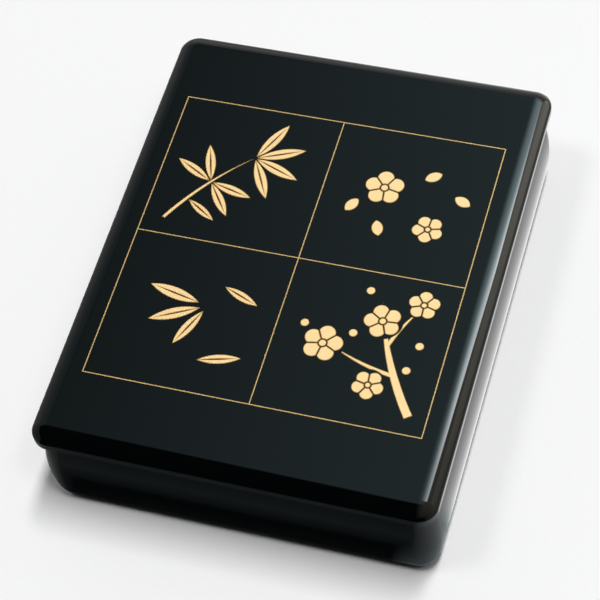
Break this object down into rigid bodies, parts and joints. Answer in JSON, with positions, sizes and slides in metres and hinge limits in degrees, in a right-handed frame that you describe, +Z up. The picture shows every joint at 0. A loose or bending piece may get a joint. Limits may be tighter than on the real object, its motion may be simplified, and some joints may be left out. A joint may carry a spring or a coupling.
{
  "type": "lacquered document box",
  "caption": "Black lacquered document box with gently swelling, round-cornered walls, a lift-off lid with a broad round-over and gold ruled panels with plant sprays.",
  "frame": {"origin": "centre of the closed box's outline on the surface that it stands on", "axes": "+X across the short side, +Y along the long side away from the front, +Z up"},
  "size_m": [0.26, 0.33, 0.0802],
  "materials": {
    "black_lacquer": "gloss",
    "bare_wood": "matte",
    "gold": "satin",
    "ruled_gold": "satin"
  },
  "bodies": {
    "box": {"bottom_panel": "black_lacquer", "wall_front": "black_lacquer", "wall_back": "black_lacquer", "wall_left": "black_lacquer", "wall_right": "black_lacquer", "wall_corner_splines": "bare_wood", "rim_strip_front": "black_lacquer", "rim_strip_back": "black_lacquer", "rim_strip_left": "black_lacquer", "rim_strip_right": "black_lacquer"},
    "lid": {"lid_top_panel": "black_lacquer", "lid_rail_front": "black_lacquer", "lid_rail_back": "black_lacquer", "lid_rail_left": "black_lacquer", "lid_rail_right": "black_lacquer", "gold_line_frame": "ruled_gold", "gold_bamboo_spray": "gold", "gold_plum_branch": "gold", "gold_loose_blossoms": "gold", "gold_loose_leaves": "gold"}
  },
  "joints": [
    {"name": "lid_lift", "type": "slide", "parent": "box", "child": "lid", "axis": [0, 0, 1], "range_m": [0, 0.15]}
  ]
}
